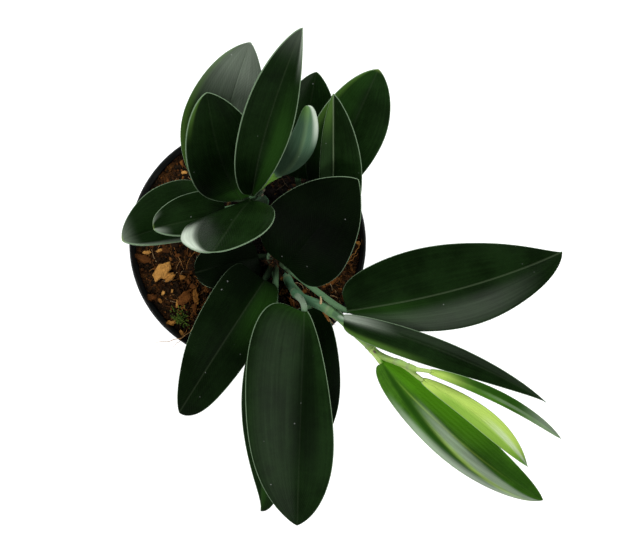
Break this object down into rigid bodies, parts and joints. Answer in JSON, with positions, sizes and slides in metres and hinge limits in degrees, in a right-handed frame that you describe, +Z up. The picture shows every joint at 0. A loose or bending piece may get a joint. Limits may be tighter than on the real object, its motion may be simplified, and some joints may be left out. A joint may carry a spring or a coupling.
{
  "type": "potted scindapsus",
  "caption": "Climbing house plant with dark oval leaves on upright and trailing stems, in a round black nursery pot.",
  "frame": {"origin": "middle of the underside of the pot's flat base", "axes": "+Z up; +X towards the side that the trailing stem leaves by, +Y towards the back where the tall leaves lean"},
  "size_m": [0.2173, 0.2334, 0.2335],
  "materials": {
    "pot_plastic": "thin black moulded plastic, satin",
    "mix": "loose bark and coir, dark brown with tan chips",
    "stem_green": "smooth bluish green skin, yellower towards the growing tip",
    "leaf_dark": "thick satin leaf, near black green with a pale margin",
    "leaf_young": "young satin leaf, yellow green with grey green bands"
  },
  "bodies": {
    "root": {"pot": "pot_plastic", "soil": "mix", "stem_upright": "stem_green", "stem_back": "stem_green", "stem_low": "stem_green", "stem_trailing": "stem_green", "leaf_left": "leaf_dark", "leaf_back_left": "leaf_dark", "leaf_small_left": "leaf_dark", "leaf_front_left": "leaf_dark", "leaf_steep": "leaf_dark", "leaf_tall": "leaf_dark", "leaf_furled": "leaf_dark", "leaf_dark_back": "leaf_dark", "leaf_broad_back": "leaf_dark", "leaf_folded": "leaf_dark", "leaf_under": "leaf_dark", "leaf_bottom_left": "leaf_dark", "leaf_lower_left": "leaf_dark", "leaf_centre": "leaf_dark", "leaf_bottom_right": "leaf_dark", "leaf_bottom": "leaf_dark", "leaf_right": "leaf_dark", "leaf_narrow_right": "leaf_dark", "leaf_bright": "leaf_young", "leaf_new": "leaf_young", "leaf_thin_new": "leaf_young"}
  },
  "joints": []
}
